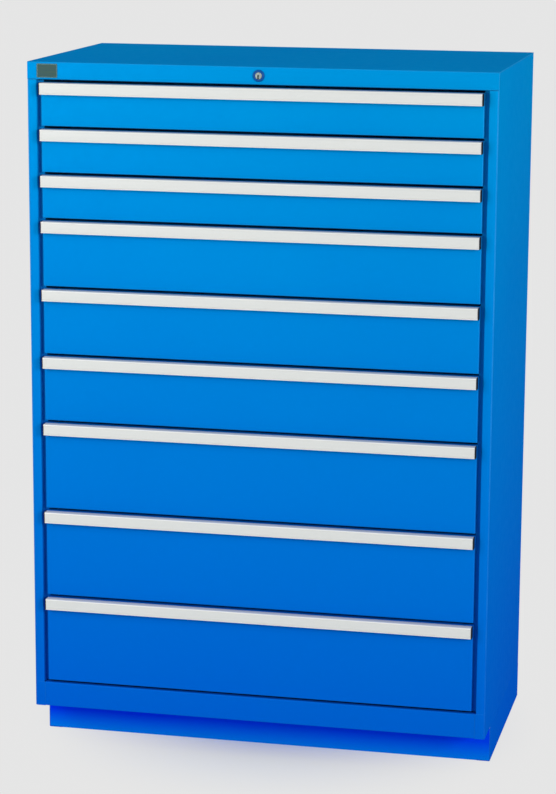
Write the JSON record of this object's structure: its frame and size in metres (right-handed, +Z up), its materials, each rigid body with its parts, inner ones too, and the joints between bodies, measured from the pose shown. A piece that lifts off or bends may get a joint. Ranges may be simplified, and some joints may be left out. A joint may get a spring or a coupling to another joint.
{
  "type": "drawer cabinet",
  "caption": "Floor-standing sheet-steel drawer cabinet with full-width handle strips, roller slides and a central lock that works a bar beside the drawers.",
  "frame": {"origin": "on the floor, under the middle of the whole outline, handle strips included", "axes": "+X to the right and -Y to the front, seen from the drawers, and +Z up"},
  "size_m": [1.023, 0.592, 1.535],
  "materials": {
    "blue_enamel": "satin powder coat",
    "handle_aluminium": "fine matt anodised",
    "zinc_steel": "bright zinc plated",
    "dark_lock": "dark satin",
    "chrome": "polished",
    "end_cap_plastic": "fine grain",
    "label_card": "clear cover over white card",
    "blank_plate": "satin"
  },
  "bodies": {
    "housing": {"back_panel": "blue_enamel", "base_front_cover": "blue_enamel", "base_rear_rail": "blue_enamel", "base_side_left": "blue_enamel", "base_side_right": "blue_enamel", "bottom_panel": "blue_enamel", "front_bottom_rail": "blue_enamel", "left_side_panel": "blue_enamel", "right_side_panel": "blue_enamel", "top_panel": "blue_enamel", "slide_frame_left": "zinc_steel", "slide_frame_right": "zinc_steel", "lock_cylinder": "dark_lock", "lock_nut": "zinc_steel", "lock_link_guide": "zinc_steel"},
    "drawer_1": {"drawer_1_tray": "blue_enamel", "drawer_1_handle": "handle_aluminium"},
    "carriage_1": {"drawer_1_carriage_left": "zinc_steel", "drawer_1_carriage_right": "zinc_steel"},
    "drawer_2": {"drawer_2_tray": "blue_enamel", "drawer_2_handle": "handle_aluminium"},
    "carriage_2": {"drawer_2_carriage_left": "zinc_steel", "drawer_2_carriage_right": "zinc_steel"},
    "drawer_3": {"drawer_3_tray": "blue_enamel", "drawer_3_handle": "handle_aluminium"},
    "carriage_3": {"drawer_3_carriage_left": "zinc_steel", "drawer_3_carriage_right": "zinc_steel"},
    "drawer_4": {"drawer_4_tray": "blue_enamel", "drawer_4_handle": "handle_aluminium"},
    "carriage_4": {"drawer_4_carriage_left": "zinc_steel", "drawer_4_carriage_right": "zinc_steel"},
    "drawer_5": {"drawer_5_tray": "blue_enamel", "drawer_5_handle": "handle_aluminium"},
    "carriage_5": {"drawer_5_carriage_left": "zinc_steel", "drawer_5_carriage_right": "zinc_steel"},
    "drawer_6": {"drawer_6_tray": "blue_enamel", "drawer_6_handle": "handle_aluminium"},
    "carriage_6": {"drawer_6_carriage_left": "zinc_steel", "drawer_6_carriage_right": "zinc_steel"},
    "drawer_7": {"drawer_7_tray": "blue_enamel", "drawer_7_handle": "handle_aluminium"},
    "carriage_7": {"drawer_7_carriage_left": "zinc_steel", "drawer_7_carriage_right": "zinc_steel"},
    "drawer_8": {"drawer_8_tray": "blue_enamel", "drawer_8_handle": "handle_aluminium"},
    "carriage_8": {"drawer_8_carriage_left": "zinc_steel", "drawer_8_carriage_right": "zinc_steel"},
    "drawer_9": {"drawer_9_tray": "blue_enamel", "drawer_9_handle": "handle_aluminium"},
    "carriage_9": {"drawer_9_carriage_left": "zinc_steel", "drawer_9_carriage_right": "zinc_steel"},
    "lock_rotor": {"lock_plug": "chrome", "lock_cam": "zinc_steel"},
    "lock_crank": {"lock_crank": "zinc_steel"},
    "lock_link": {"lock_link": "zinc_steel"},
    "lock_bar": {"lock_bar": "zinc_steel"}
  },
  "joints": [
    {"name": "drawer_1_slide", "type": "slide", "parent": "housing", "child": "drawer_1", "axis": [0, -1, 0], "range_m": [0, 0.475]},
    {"name": "carriage_1_slide", "type": "slide", "parent": "housing", "child": "carriage_1", "axis": [0, -1, 0], "range_m": [0, 0.2375]},
    {"name": "drawer_2_slide", "type": "slide", "parent": "housing", "child": "drawer_2", "axis": [0, -1, 0], "range_m": [0, 0.475]},
    {"name": "carriage_2_slide", "type": "slide", "parent": "housing", "child": "carriage_2", "axis": [0, -1, 0], "range_m": [0, 0.2375]},
    {"name": "drawer_3_slide", "type": "slide", "parent": "housing", "child": "drawer_3", "axis": [0, -1, 0], "range_m": [0, 0.475]},
    {"name": "carriage_3_slide", "type": "slide", "parent": "housing", "child": "carriage_3", "axis": [0, -1, 0], "range_m": [0, 0.2375]},
    {"name": "drawer_4_slide", "type": "slide", "parent": "housing", "child": "drawer_4", "axis": [0, -1, 0], "range_m": [0, 0.475]},
    {"name": "carriage_4_slide", "type": "slide", "parent": "housing", "child": "carriage_4", "axis": [0, -1, 0], "range_m": [0, 0.2375]},
    {"name": "drawer_5_slide", "type": "slide", "parent": "housing", "child": "drawer_5", "axis": [0, -1, 0], "range_m": [0, 0.475]},
    {"name": "carriage_5_slide", "type": "slide", "parent": "housing", "child": "carriage_5", "axis": [0, -1, 0], "range_m": [0, 0.2375]},
    {"name": "drawer_6_slide", "type": "slide", "parent": "housing", "child": "drawer_6", "axis": [0, -1, 0], "range_m": [0, 0.475]},
    {"name": "carriage_6_slide", "type": "slide", "parent": "housing", "child": "carriage_6", "axis": [0, -1, 0], "range_m": [0, 0.2375]},
    {"name": "drawer_7_slide", "type": "slide", "parent": "housing", "child": "drawer_7", "axis": [0, -1, 0], "range_m": [0, 0.475]},
    {"name": "carriage_7_slide", "type": "slide", "parent": "housing", "child": "carriage_7", "axis": [0, -1, 0], "range_m": [0, 0.2375]},
    {"name": "drawer_8_slide", "type": "slide", "parent": "housing", "child": "drawer_8", "axis": [0, -1, 0], "range_m": [0, 0.475]},
    {"name": "carriage_8_slide", "type": "slide", "parent": "housing", "child": "carriage_8", "axis": [0, -1, 0], "range_m": [0, 0.2375]},
    {"name": "drawer_9_slide", "type": "slide", "parent": "housing", "child": "drawer_9", "axis": [0, -1, 0], "range_m": [0, 0.475]},
    {"name": "carriage_9_slide", "type": "slide", "parent": "housing", "child": "carriage_9", "axis": [0, -1, 0], "range_m": [0, 0.2375]},
    {"name": "lock_turn", "type": "hinge", "parent": "housing", "child": "lock_rotor", "pos_m": [0, -0.276, 1.516], "axis": [0, -1, 0], "range_deg": [0, 90]},
    {"name": "crank_turn", "type": "hinge", "parent": "housing", "child": "lock_crank", "pos_m": [0.49, -0.276, 1.516], "axis": [0, -1, 0], "range_deg": [0, 90]},
    {"name": "link_slide", "type": "slide", "parent": "housing", "child": "lock_link", "axis": [-1, 0, 0], "range_m": [0, 0.01132]},
    {"name": "bar_lift", "type": "slide", "parent": "housing", "child": "lock_bar", "axis": [0, 0, 1], "range_m": [0, 0.01131]}
  ],
  "couplings": [
    {"joint": "carriage_1_slide", "follows": "drawer_1_slide", "ratio": 0.5},
    {"joint": "carriage_2_slide", "follows": "drawer_2_slide", "ratio": 0.5},
    {"joint": "carriage_3_slide", "follows": "drawer_3_slide", "ratio": 0.5},
    {"joint": "carriage_4_slide", "follows": "drawer_4_slide", "ratio": 0.5},
    {"joint": "carriage_5_slide", "follows": "drawer_5_slide", "ratio": 0.5},
    {"joint": "carriage_6_slide", "follows": "drawer_6_slide", "ratio": 0.5},
    {"joint": "carriage_7_slide", "follows": "drawer_7_slide", "ratio": 0.5},
    {"joint": "carriage_8_slide", "follows": "drawer_8_slide", "ratio": 0.5},
    {"joint": "carriage_9_slide", "follows": "drawer_9_slide", "ratio": 0.5},
    {"joint": "lock_turn", "follows": "bar_lift", "rad_per_m": 138.84},
    {"joint": "crank_turn", "follows": "bar_lift", "rad_per_m": 138.84},
    {"joint": "link_slide", "follows": "bar_lift", "ratio": 1}
  ]
}
